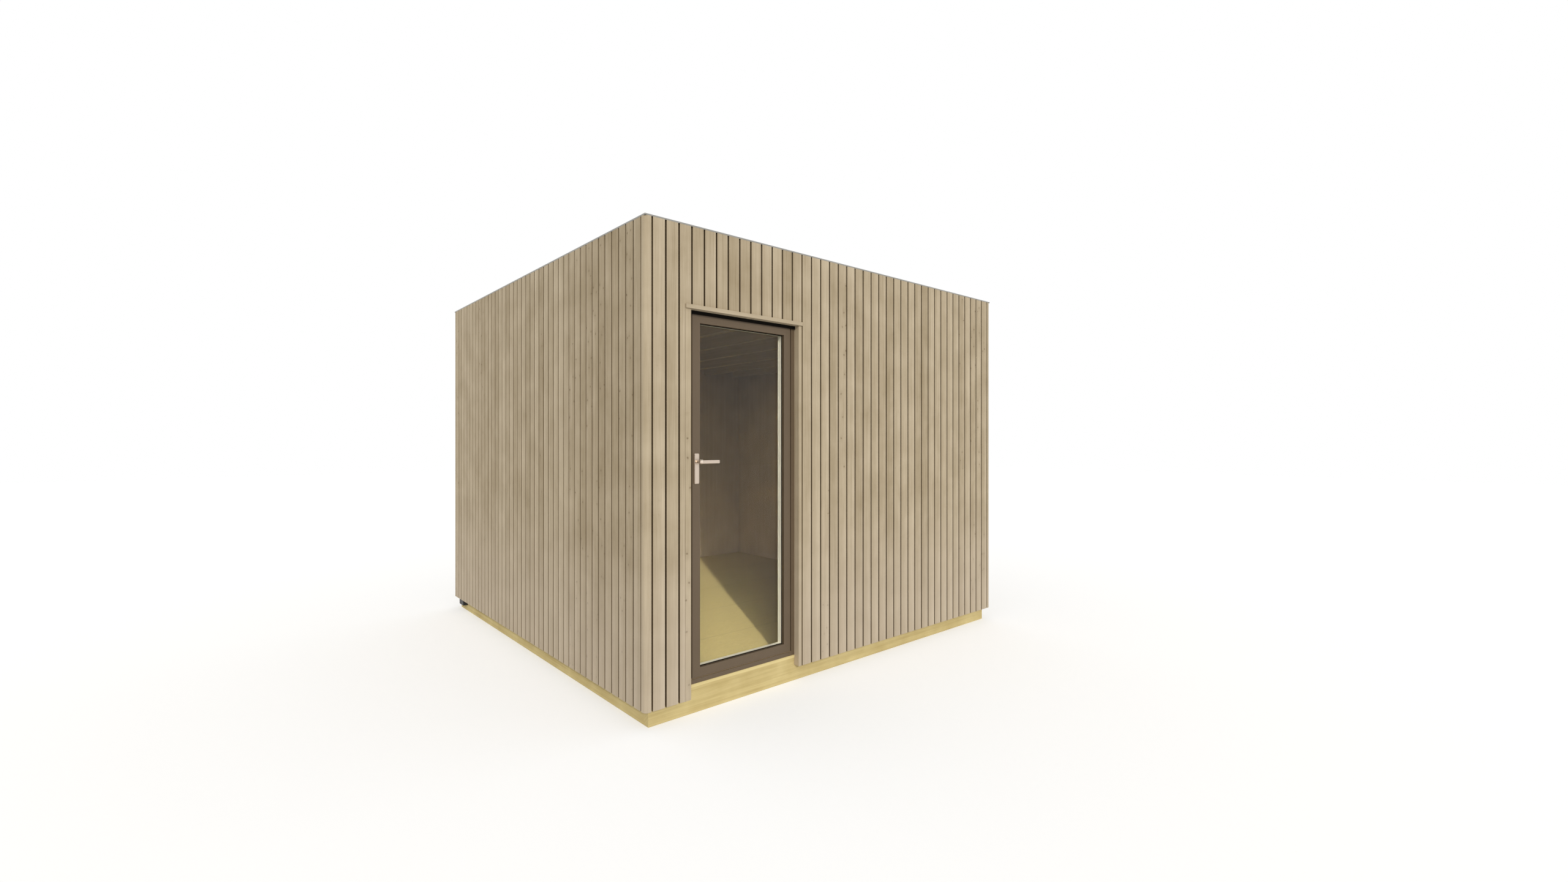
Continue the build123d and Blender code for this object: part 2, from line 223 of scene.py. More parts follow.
class EffectGroup:
    """A shader node group that several materials share, built the first time it is asked for."""

    name = "effect"
    inputs: dict[str, object] = {}
    outputs = {"Color": "NodeSocketColor", "Roughness": "NodeSocketFloat", "Height": "NodeSocketFloat"}

    @classmethod
    def tree(cls) -> bpy.types.NodeTree:
        """Return the group's tree, building it if need be."""
        made = bpy.data.node_groups.get(cls.name)
        if made:
            return made
        tree = bpy.data.node_groups.new(cls.name, "ShaderNodeTree")
        for label, default in cls.inputs.items():
            kind = "NodeSocketFloat" if isinstance(default, float) else SOCKET_KINDS[len(default)]
            tree.interface.new_socket(label, in_out="INPUT", socket_type=kind).default_value = default
        for label, kind in cls.outputs.items():
            tree.interface.new_socket(label, in_out="OUTPUT", socket_type=kind)
        graph = ShaderGraph(tree)
        source = graph.add("NodeGroupInput")
        results = cls.build(graph, {label: source.outputs[label] for label in cls.inputs})
        graph.add("NodeGroupOutput", results)
        return tree

    @classmethod
    def build(cls, graph: ShaderGraph, given: dict[str, Socket]) -> dict[str, Socket]:
        """Build the inside of the group; each effect has its own."""
        raise NotImplementedError

    @classmethod
    def put(cls, graph: ShaderGraph, **values: object) -> dict[str, Socket]:
        """Place the group in a material.

        Args:
            graph: The material's graph.
            **values: A socket or a value for each input, with _ for a space in its name.

        Returns:
            The group's outputs by name.
        """
        feeds = {label.replace("_", " "): value for label, value in values.items()}
        node = graph.add("ShaderNodeGroup", feeds, node_tree=cls.tree())
        return {socket.name: socket for socket in node.outputs}


@dataclass(frozen=True)
class Lines:
    """Noise drawn out along the grain.

    Attributes:
        across: Its scale across the grain.
        along: Its scale along the grain.
        offset: What sets it apart from other lines.
        detail: Its octaves.
    """

    across: float
    along: float
    offset: float
    detail: float

    def noise(self, graph: ShaderGraph, across: Socket, shift: Socket, along: Socket) -> Socket:
        """Return the noise at a place that is shifted for each board."""
        x, z = graph.times(across, self.across), graph.times(along, self.along)
        return graph.noise(graph.vector(x, graph.plus(shift, self.offset), z), 1.0, self.detail, 0.55)


class TimberEffect(EffectGroup):
    """Sawn softwood: fine lines, broad bands, weathered patches, dark streaks and knots."""

    name = "timber_effect"
    inputs = {
        "Across": 0.0,
        "Along": 0.0,
        "Seed": 0.0,
        "Light": (0.8, 0.8, 0.8, 1.0),
        "Dark": (0.3, 0.3, 0.3, 1.0),
        "Knot": (0.1, 0.1, 0.1, 1.0),
        "Knot Chance": 0.2,
        "Grain": 0.5,
        "Patches": 0.4,
        "Board": 0.3,
    }
    fine = Lines(330.0, 5.0, 0.0, 3.0)
    band = Lines(52.0, 0.9, 3.0, 2.0)
    streak = Lines(120.0, 1.5, 7.0, 2.0)
    streak_span = (0.60, 0.78)
    patch_scales = (4.5, 4.0)
    seed_shift = 37.0
    cell_shifts = (11.3, 17.7)
    chance_shift = 91.7
    knot_cell = (0.055, 0.15)
    knot_scatter = 0.85
    knot_span = (0.002, 0.0085)
    halo_span = (0.004, 0.020)
    halo_stretch = 0.4
    rim_scale = 140.0
    rim_depth = 0.009
    cluster_scale = 1.6
    fine_tone, band_tone, patch_tone = 2.2, 2.0, 2.1
    streak_dark, halo_dark, knot_dark = 0.35, 0.30, 0.7
    smoothest, fine_rough = 0.72, 0.18
    fine_height, band_height, knot_height = 0.6, 0.5, 0.5

    @classmethod
    def knots(cls, graph: ShaderGraph, given: dict[str, Socket], shift: Socket) -> tuple[Socket, Socket]:
        """Mark the knots and the long halos round them.

        Args:
            graph: The group's graph.
            given: The group's inputs by name.
            shift: What sets one board apart from the next.

        Returns:
            The knots and the halos, from 0 to 1.
        """
        along, seed = given["Along"], given["Seed"]
        parts = [
            graph.plus(graph.math("DIVIDE", place, size), graph.times(seed, step))
            for place, size, step in zip((given["Across"], along), cls.knot_cell, cls.cell_shifts)
        ]
        cell = graph.vector(*parts, 0.0)
        feeds = {"Vector": cell, "Scale": 1.0, "Randomness": cls.knot_scatter}
        knots = graph.add("ShaderNodeTexVoronoi", feeds, voronoi_dimensions="2D", feature="F1")
        away = graph.vector_math("SUBTRACT", cell, knots.outputs["Position"]).outputs[0]

        def distance(stretch: float) -> Socket:
            """Return the distance to the nearest knot, shorter along the grain."""
            scaled = graph.vector_math("MULTIPLY", away, (cls.knot_cell[0], cls.knot_cell[1] * stretch, 0.0))
            return graph.vector_math("LENGTH", scaled.outputs[0]).outputs["Value"]

        uneven = graph.noise(graph.vector(given["Across"], shift, along), cls.rim_scale, 1.0)
        rim = graph.plus(distance(1.0), graph.times(graph.minus(uneven, 0.5), cls.rim_depth))
        feeds = {"W": graph.times(seed, cls.chance_shift)}
        draw = graph.add("ShaderNodeTexWhiteNoise", feeds, noise_dimensions="1D")
        knotty = graph.math("LESS_THAN", draw.outputs["Value"], given["Knot Chance"])
        cluster = graph.noise(graph.vector(0.0, shift, graph.times(along, cls.cluster_scale)), 1.0, 0.0)
        knotty = graph.times(knotty, graph.math("GREATER_THAN", cluster, 0.5))
        knot = graph.times(graph.step(rim, cls.knot_span, (1.0, 0.0)), knotty)
        return knot, graph.times(graph.step(distance(cls.halo_stretch), cls.halo_span, (1.0, 0.0)), knotty)

    @classmethod
    def build(cls, graph: ShaderGraph, given: dict[str, Socket]) -> dict[str, Socket]:
        """Build the timber.

        Args:
            graph: The group's graph.
            given: The group's inputs by name.

        Returns:
            The colour, the roughness and the height.
        """
        across, along, seed, grain = (given[label] for label in ("Across", "Along", "Seed", "Grain"))
        shift = graph.times(seed, cls.seed_shift)
        fine, band, streak = (
            lines.noise(graph, across, shift, along) for lines in (cls.fine, cls.band, cls.streak)
        )
        streak = graph.step(streak, cls.streak_span)
        patch_x, patch_z = graph.times(across, cls.patch_scales[0]), graph.times(along, cls.patch_scales[1])
        patch = graph.noise(graph.vector(patch_x, 2.0, patch_z), 1.0, 3.0, 0.55)
        knot, halo = cls.knots(graph, given, shift)

        tones = (
            (fine, graph.times(grain, cls.fine_tone)),
            (band, graph.times(grain, cls.band_tone)),
            (patch, graph.times(given["Patches"], cls.patch_tone)),
            (seed, given["Board"]),
        )
        tone = graph.plus(0.5, *(graph.times(graph.minus(value, 0.5), strength) for value, strength in tones))
        colour = graph.mix(tone, given["Dark"], given["Light"])
        dulled = graph.plus(graph.times(streak, cls.streak_dark), graph.times(halo, cls.halo_dark))
        colour = graph.mix(graph.times(dulled, grain), colour, given["Knot"])
        colour = graph.mix(graph.times(knot, cls.knot_dark), colour, given["Knot"])
        roughness = graph.plus(cls.smoothest, graph.times(fine, cls.fine_rough))
        height = graph.plus(graph.times(fine, cls.fine_height), graph.times(band, cls.band_height))
        height = graph.minus(height, graph.times(knot, cls.knot_height))
        return {"Color": colour, "Roughness": roughness, "Height": height}


class SatinEffect(EffectGroup):
    """A made surface: fine texture, faint handling marks and a little dust."""

    name = "satin_effect"
    inputs = {
        "Vector": (0.0, 0.0, 0.0),
        "Base": (0.5, 0.5, 0.5, 1.0),
        "Worn": (0.6, 0.6, 0.6, 1.0),
        "Texture Scale": 600.0,
        "Smooth": 0.35,
        "Rough": 0.5,
    }
    dust_scale = 3.0
    dust_span = (0.35, 0.70)
    dust_strength = 0.45
    mark_scale = 26.0
    mark_span = (0.52, 0.74)
    mark_strength = 0.30
    wear = 0.9
    dust_rough, fine_rough = 0.6, 0.4

    @classmethod
    def build(cls, graph: ShaderGraph, given: dict[str, Socket]) -> dict[str, Socket]:
        """Build the made surface.

        Args:
            graph: The group's graph.
            given: The group's inputs by name.

        Returns:
            The colour, the roughness and the height.
        """
        place = given["Vector"]
        fine = graph.noise(place, given["Texture Scale"])
        dust = graph.noise(place, cls.dust_scale, 3.0, 0.6)
        marks = graph.step(graph.noise(place, cls.mark_scale, 4.0, 0.65), cls.mark_span)
        dusty = graph.step(dust, cls.dust_span, (0.0, cls.dust_strength))
        worn = graph.plus(graph.times(marks, cls.mark_strength), dusty)
        colour = graph.mix(graph.times(worn, cls.wear), given["Base"], given["Worn"])
        share = graph.plus(graph.times(dust, cls.dust_rough), graph.times(fine, cls.fine_rough))
        spread = graph.minus(given["Rough"], given["Smooth"])
        roughness = graph.plus(given["Smooth"], graph.times(spread, share))
        return {"Color": colour, "Roughness": roughness, "Height": fine}


@dataclass(frozen=True)
class Finish:
    """A finish that makes its own material.

    Attributes:
        name: The material's name.
    """

    name: str

    def material(self) -> Material:
        """Return a new material with this finish."""
        material = bpy.data.materials.new(self.name)
        material.use_nodes = True
        self.dress(ShaderGraph(material.node_tree), material.node_tree.nodes["Principled BSDF"])
        return material

    def dress(self, graph: ShaderGraph, shader: Node) -> None:
        """Give a material its nodes; each finish has its own way."""
        raise NotImplementedError


@dataclass(frozen=True)
class Timber(Finish):
    """A timber finish.

    Attributes:
        light: The lightest tone.
        dark: The darkest tone.
        knot: The knots' colour.
        lie: Which way the grain runs.
        knot_chance: The share of boards with knots.
        grain: How strong the lines are.
        patches: How strong the weathered patches are.
        board: How much one board differs from the next.
        seed: The number that sets the grain apart.
        relief: How much of the grain's relief shows, and its depth.
        bottom_paling: How much paler the timber gets towards the bottom.
        bottom_paling_tone: The colour it pales to at the bottom.
        bottom_paling_span: The heights from where to where the paling fades.
    """

    light: Colour
    dark: Colour
    knot: Colour
    lie: Lie = Lie.UPRIGHT
    knot_chance: float = 0.0
    grain: float = 0.4
    patches: float = 0.3
    board: float = 0.0
    seed: float = 0.37
    relief: Span = (0.6, 0.0006)
    bottom_paling: float = 0.0
    bottom_paling_tone: Colour = srgb(212, 197, 178)
    bottom_paling_span: Span = (0.1, 1.2)

    def effect(self, graph: ShaderGraph, parts: list[Socket]) -> dict[str, Socket]:
        """Place the timber effect, turned the way the grain runs.

        Args:
            graph: The material's graph.
            parts: The place along X, Y and Z.

        Returns:
            The effect's outputs by name.
        """
        first, second, along = (parts[axis] for axis in self.lie.value)
        return TimberEffect.put(
            graph,
            Across=graph.plus(first, second),
            Along=along,
            Seed=self.number(graph),
            Light=self.light,
            Dark=self.dark,
            Knot=self.knot,
            Knot_Chance=self.knot_chance,
            Grain=self.grain,
            Patches=self.patches,
            Board=self.board,
        )

    def number(self, graph: ShaderGraph) -> object:
        """Return the number that sets the grain apart."""
        return self.seed

    def shade(self, graph: ShaderGraph, parts: list[Socket], colour: Socket) -> Socket:
        """Return the colour as it is; boards paint shade on it further."""
        return colour

    def dress(self, graph: ShaderGraph, shader: Node) -> None:
        """Give a material the timber's nodes.

        Args:
            graph: The material's graph.
            shader: Its Principled shader.
        """
        parts = graph.parts(graph.place())
        made = self.effect(graph, parts)
        colour = made["Color"]
        # Paler towards the bottom, fading out higher up.
        if self.bottom_paling:
            paler = graph.step(parts[2], self.bottom_paling_span, (self.bottom_paling, 0.0))
            colour = graph.mix(paler, colour, self.bottom_paling_tone)
        colour = self.shade(graph, parts, colour)
        graph.surface(shader, colour, made["Roughness"], made["Height"], self.relief)
        shader.inputs["Specular IOR Level"].default_value = 0.25


@dataclass(frozen=True)
class BoardTimber(Timber):
    """The timber of the cladding boards, each with its own number in the mesh, with painted shade across each
    face, over the rounded edges and into the gaps.

    Attributes:
        half_width: From the middle to the face of the side boards.
        front: From the middle to the face of the front boards.
        back: From the middle to the face of the back boards.
        painted_shade_colour: The dark colour painted into the gaps and on the boards' rounded edges, painted
            shade.
        painted_face_darkening: How much darker a board is painted towards its first edge, painted shade
            across its face.
        painted_edge_darkening: The depths of the edge's round, and how dark the painted shade gets there.
        painted_gap_darkening: The depths where the painted shade in the gap darkens, and how dark it gets
            there.
    """

    half_width: float = 1.6025
    front: float = 1.6775
    back: float = 1.6875
    # Painted shade: the colour and depths of the darkening in the gaps, on the edges and across each face.
    painted_shade_colour: Colour = srgb(92, 75, 50)
    painted_face_darkening: float = 0.28
    painted_edge_darkening: tuple[Span, float] = ((0.0005, 0.0026), 0.82)
    painted_gap_darkening: tuple[Span, float] = ((0.004, 0.014), 0.75)

    def number(self, graph: ShaderGraph) -> object:
        """Return the number that the mesh holds for each board."""
        return graph.attribute("board")

    def shade(self, graph: ShaderGraph, parts: list[Socket], colour: Socket) -> Socket:
        """Paint shade on a board's colour: darker towards its first edge, over its rounded edges and into the
        gaps beside it.

        Args:
            graph: The material's graph.
            parts: The place along X, Y and Z.
            colour: The board's colour.

        Returns:
            The colour with its painted shade.
        """
        x, y, _ = parts
        behind_side = graph.minus(self.half_width, graph.math("ABSOLUTE", x))
        behind_ends = graph.math("MINIMUM", graph.plus(y, self.front), graph.minus(self.back, y))
        depth = graph.math("MINIMUM", behind_side, behind_ends)
        # Painted shade: each board is darker towards its first edge, as if lit less there.
        across = graph.step(graph.attribute("side"), (0.0, 1.0), (self.painted_face_darkening, 0.0))
        colour = graph.mix(across, colour, self.dark)
        # Painted shade: darker over the rounded front edges and deeper in the gaps, where shade falls.
        for span, most in (self.painted_edge_darkening, self.painted_gap_darkening):
            colour = graph.mix(graph.step(depth, span, (0.0, most)), colour, self.painted_shade_colour)
        return colour


@dataclass(frozen=True)
class Satin(Finish):
    """A foil, plastic, rubber, coated or bare metal finish.

    Attributes:
        base: The main colour.
        worn: The colour of marks and dust.
        metallic: 1 for bare metal.
        smooth: The least roughness.
        rough: The greatest roughness.
        texture: The scale of the fine texture.
        relief: The depth of the fine texture.
        specular: How strongly a surface that isn't metal reflects.
    """

    base: Colour
    worn: Colour
    metallic: float = 0.0
    smooth: float = 0.35
    rough: float = 0.55
    texture: float = 600.0
    relief: float = 0.0002
    specular: float = 0.5

    def tones(self, graph: ShaderGraph, place: Socket) -> tuple[object, object]:
        """Return the main colour and the colour of marks."""
        return self.base, self.worn

    def dress(self, graph: ShaderGraph, shader: Node) -> None:
        """Give a material the made surface's nodes.

        Args:
            graph: The material's graph.
            shader: Its Principled shader.
        """
        place = graph.place()
        base, worn = self.tones(graph, place)
        made = SatinEffect.put(
            graph,
            Vector=place,
            Base=base,
            Worn=worn,
            Texture_Scale=self.texture,
            Smooth=self.smooth,
            Rough=self.rough,
        )
        graph.surface(shader, made["Color"], made["Roughness"], made["Height"], (0.4, self.relief))
        shader.inputs["Metallic"].default_value = self.metallic
        shader.inputs["Specular IOR Level"].default_value = self.specular


@dataclass(frozen=True)
class DoorFoil(Satin):
    """The door's foil: one colour outside, a paler one painted in the joint round the leaf as painted light,
    and one on the room side.

    Attributes:
        inner: The colour on the room side.
        inner_worn: How bright marks are there, as a share of that colour.
        split: The Y beyond which the room side begins.
        joint: The paler colour painted in the joint, painted light where the joint lies in shade.
        painted_light_lap: How far the joint's painted light reaches in from the leaf's edge.
        painted_light_start: How far behind the leaf's face the joint's painted light begins.
    """

    inner: Colour = srgb(206, 200, 182)
    inner_worn: float = 0.9
    split: float = -1.612
    # Painted light: a pale colour for the shaded joint round the leaf.
    joint: Colour = srgb(178, 154, 122)
    painted_light_lap: float = 0.021
    painted_light_start: float = 0.0012

    def tones(self, graph: ShaderGraph, place: Socket) -> tuple[object, object]:
        """Return the main colour and the colour of marks, each split between outside, the joint's painted
        light and the room side.

        Args:
            graph: The material's graph.
            place: The object's own coordinates.

        Returns:
            The two colours.
        """
        low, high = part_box("leaf_top_rail")
        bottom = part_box("leaf_bottom_rail")[0].z
        x, y, z = graph.parts(place)

        def beyond(value: Socket, start: float, end: float) -> Socket:
            """Return how far a value lies outside a span."""
            from_middle = graph.math("ABSOLUTE", graph.minus(value, (start + end) / 2))
            return graph.minus(from_middle, (end - start) / 2)

        inside = graph.math("GREATER_THAN", y, self.split)
        outline = graph.math("MAXIMUM", beyond(x, low.x, high.x), beyond(z, bottom, high.z))
        around = graph.math("GREATER_THAN", outline, -self.painted_light_lap)
        behind = graph.math("GREATER_THAN", y, low.y + self.painted_light_start)
        # Painted light: the joint round the leaf, which lies in shade, gets the paler joint colour.
        in_painted_light = graph.times(around, behind, graph.math("LESS_THAN", y, self.split))
        inner_worn = tuple(part * self.inner_worn for part in self.inner)
        base, worn = (
            graph.mix(in_painted_light, graph.mix(inside, outer, inner), self.joint)
            for outer, inner in ((self.base, self.inner), (self.worn, inner_worn))
        )
        return base, worn


@dataclass(frozen=True)
class WallBuildUp(Finish):
    """A wall panel: dark membrane outside, whose near-black is partly its own colour and partly painted shade
    for the gaps between the boards, board lining inside.

    Attributes:
        membrane: The membrane's colour, partly its own and partly painted shade for the cladding's gaps.
        lining: The lining's timber.
        panel_width: The width of one lining board.
        joint_span: Where a joint starts and is full, in widths from a board's middle.
        outer_x: How far from the middle the outer side begins, along X.
        outer_y: The same along Y.
        middle_y: The middle of the walls along Y.
        joint_dark: How dark a joint is.
        lining_relief: How much of the timber's relief the lining keeps.
    """

    membrane: Colour
    lining: Timber
    panel_width: float = 1.2
    joint_span: Span = (0.497, 0.4995)
    outer_x: float = 1.545
    outer_y: float = 1.625
    middle_y: float = 0.005
    joint_dark: float = 0.5
    lining_relief: float = 0.2

    def dress(self, graph: ShaderGraph, shader: Node) -> None:
        """Give a material the wall's nodes.

        Args:
            graph: The material's graph.
            shader: Its Principled shader.
        """
        parts = graph.parts(graph.place())
        x, y, _ = parts
        side = graph.math("GREATER_THAN", graph.math("ABSOLUTE", x), self.outer_x)
        from_middle = graph.math("ABSOLUTE", graph.minus(y, self.middle_y))
        outside = graph.math("MAXIMUM", side, graph.math("GREATER_THAN", from_middle, self.outer_y))
        made = self.lining.effect(graph, parts)
        joint = graph.joints(graph.plus(x, y), self.panel_width, self.joint_span)
        lined = graph.mix(graph.times(joint, self.joint_dark), made["Color"], self.lining.dark)
        height = graph.minus(graph.times(made["Height"], self.lining_relief), joint)
        # Outside: the dark membrane, partly painted shade seen through the boards' gaps.
        colour = graph.mix(outside, lined, self.membrane)
        graph.surface(shader, colour, made["Roughness"], height, (0.4, 0.0008))


@dataclass(frozen=True)
class StrandBoard(Finish):
    """A floor or deck of pressed flakes.

    Attributes:
        light: The lightest flakes.
        dark: The darkest flakes.
        joint: The joints between the boards.
        layers: For each layer of flakes, its turn and its scales along the turned X and Y.
        layer_depth: The scale of the flakes along Z.
        flake_share: How much of the tone comes from the flakes; clouds give the rest.
        joint_dark: How dark a joint is.
        board_width: The width of one board.
        joint_span: Where a joint starts and is full, in widths from a board's middle.
    """

    light: Colour
    dark: Colour
    joint: Colour
    layers: tuple[tuple[float, float, float], ...] = ((0.4, 70.0, 190.0), (1.9, 180.0, 75.0))
    layer_depth: float = 20.0
    flake_share: float = 0.7
    joint_dark: float = 0.7
    board_width: float = 0.6
    joint_span: Span = (0.496, 0.4985)

    def flakes(self, graph: ShaderGraph, parts: list[Socket], layer: tuple[float, float, float]) -> Socket:
        """Return a tone for each flake of one layer.

        Args:
            graph: The material's graph.
            parts: The place along X, Y and Z.
            layer: The layer's turn and scales.

        Returns:
            The tone, from 0 to 1.
        """
        x, y, z = parts
        turn, *scales = layer
        turned_x = graph.plus(graph.times(x, math.cos(turn)), graph.times(y, math.sin(turn)))
        turned_y = graph.minus(graph.times(y, math.cos(turn)), graph.times(x, math.sin(turn)))
        places = zip((turned_x, turned_y, z), (*scales, self.layer_depth))
        at = graph.vector(*(graph.times(place, scale) for place, scale in places))
        cells = graph.add("ShaderNodeTexVoronoi", {"Vector": at, "Scale": 1.0})
        return graph.add("ShaderNodeSeparateColor", {0: cells.outputs["Color"]}).outputs[0]

    def dress(self, graph: ShaderGraph, shader: Node) -> None:
        """Give a material the flakes' nodes.

        Args:
            graph: The material's graph.
            shader: Its Principled shader.
        """
        place = graph.place()
        parts = graph.parts(place)
        tones = [self.flakes(graph, parts, layer) for layer in self.layers]
        tone = graph.plus(*(graph.times(part, 1.0 / len(tones)) for part in tones))
        clouds = graph.times(graph.noise(place, 1.4, 1.0), 1.0 - self.flake_share)
        tone = graph.plus(graph.times(tone, self.flake_share), clouds)
        gap = graph.joints(parts[1], self.board_width, self.joint_span)
        flaked = graph.mix(tone, self.dark, self.light)
        colour = graph.mix(graph.times(gap, self.joint_dark), flaked, self.joint)
        roughness = graph.plus(0.6, graph.times(tones[0], 0.2))
        graph.surface(shader, colour, roughness, graph.minus(tone, gap), (0.5, 0.0006))


@dataclass(frozen=True)
class ClearGlass(Finish):
    """Clear glass that lets lamps light what is behind it.

    Attributes:
        tint: The colour of a pane seen through.
        smear_span: Where smears start and are full, in the noise they come from.
        smear: The roughness of a smear.
    """

    tint: Colour
    smear_span: Span = (0.55, 0.80)
    smear: float = 0.004

    def dress(self, graph: ShaderGraph, shader: Node) -> None:
        """Give a material the glass's nodes.

        Args:
            graph: The material's graph.
            shader: Its Principled shader.
        """
        smears = graph.step(graph.noise(graph.place(), 5.0, 4.0, 0.6), self.smear_span, (0.0, self.smear))
        settings = {"Base Color": self.tint, "IOR": 1.2, "Transmission Weight": 1.0, "Roughness": smears}
        for label, source in settings.items():
            graph.feed(shader.inputs[label], source)
        in_shadow = graph.add("ShaderNodeLightPath").outputs["Is Shadow Ray"]
        clear = graph.add("ShaderNodeBsdfTransparent").outputs["BSDF"]
        mixer = graph.add("ShaderNodeMixShader", {0: in_shadow, 1: shader.outputs["BSDF"], 2: clear})
        graph.feed(graph.tree.nodes["Material Output"].inputs["Surface"], mixer.outputs[0])


TRIM = Timber(
    "trim_timber",
    light=srgb(204, 188, 160),
    dark=srgb(162, 145, 116),
    knot=srgb(112, 93, 66),
    grain=0.38,
    patches=0.45,
    bottom_paling=0.30,
    seed=0.52,
)
KNOTTY_TRIM = replace(TRIM, name="knotty_trim_timber", knot_chance=1.0, seed=0.31)
CLADDING = BoardTimber(
    "cladding_boards",
    light=srgb(206, 190, 163),
    dark=srgb(160, 143, 114),
    knot=TRIM.knot,
    knot_chance=0.22,
    grain=0.42,
    patches=0.55,
    board=0.5,
    bottom_paling=0.48,
)
HEADER = Timber(
    "header_timber",
    light=srgb(205, 189, 162),
    dark=srgb(167, 151, 124),
    knot=srgb(120, 100, 72),
    lie=Lie.ALONG_X,
    grain=0.35,
)
BASE_ALONG_X = Timber(
    "base_timber_front",
    light=srgb(228, 210, 153),
    dark=srgb(192, 170, 113),
    knot=srgb(146, 112, 62),
    lie=Lie.ALONG_X,
    patches=0.7,
)
BASE_ALONG_Y = replace(BASE_ALONG_X, name="base_timber_side", lie=Lie.ALONG_Y, seed=0.83)
SILL = Timber(
    "sill_timber",
    light=srgb(240, 222, 164),
    dark=srgb(216, 196, 138),
    knot=srgb(160, 126, 76),
    lie=Lie.ALONG_X,
)
ROOF_TIMBER = Timber(
    "roof_joist_timber",
    light=srgb(206, 190, 158),
    dark=srgb(170, 152, 118),
    knot=srgb(120, 96, 62),
    lie=Lie.ALONG_Y,
    grain=0.3,
    patches=0.2,
)
LINING = Timber(
    "wall_lining",
    light=srgb(200, 180, 146),
    dark=srgb(168, 146, 112),
    knot=srgb(168, 146, 112),
    grain=0.25,
    patches=0.35,
    seed=0.61,
)
# The membrane's near-black is partly its own colour and partly painted shade seen through the cladding's
# gaps.
WALL = WallBuildUp("wall_panel", membrane=srgb(34, 28, 20), lining=LINING)
FLOOR = StrandBoard("floor_board", srgb(208, 190, 128), dark=srgb(170, 150, 92), joint=srgb(112, 92, 56))
FRAME = DoorFoil(
    "brown_foil", srgb(99, 83, 63), srgb(107, 90, 70), smooth=0.42, rough=0.6, texture=700.0, relief=0.0003
)
# Battens stained dark; their dark colour also stands in for the shade in the boards' gaps, painted shade.
BATTEN = Satin("dark_battens_stain_and_painted_shade", srgb(62, 48, 28), srgb(78, 62, 38), smooth=0.7, rough=0.9, texture=200.0)
FOAM = Satin("foam_board", srgb(226, 219, 190), srgb(205, 196, 165), smooth=0.7, rough=0.9, texture=350.0)
MEMBRANE = Satin(
    "roof_rubber", srgb(58, 57, 55), srgb(84, 82, 78), smooth=0.55, rough=0.8, texture=120.0, relief=0.0006
)
EDGE_METAL = Satin(
    "edge_metal", srgb(150, 148, 142), srgb(166, 164, 158), smooth=0.3, rough=0.5, texture=900.0
)
BEAD = Satin("pale_profile", srgb(228, 222, 203), srgb(218, 211, 191), smooth=0.4, rough=0.6, texture=500.0)
# Black rubber for the glass gaskets; on the strip under the door's header the same near-black is a painted
# shadow, put where the header's shadow falls.
GASKET_AND_SHADOW_BLACK = Satin(
    "gasket_and_painted_shadow_black", srgb(14, 10, 6), srgb(22, 18, 13), smooth=0.75, rough=0.95, texture=800.0, specular=0.12
)
HANDLE = Satin(
    "satin_metal",
    srgb(212, 196, 180),
    srgb(198, 182, 166),
    metallic=1.0,
    smooth=0.28,
    rough=0.42,
    texture=1500.0,
    relief=0.00005,
)
HINGE = Satin("coated_hinge", srgb(206, 200, 182), srgb(190, 184, 168), rough=0.5)
BLACK = Satin("black_plastic", srgb(24, 24, 26), srgb(48, 47, 46), smooth=0.4, rough=0.6, texture=400.0)
GLASS = ClearGlass("door_glass", tint=(0.97, 0.975, 0.96, 1.0))


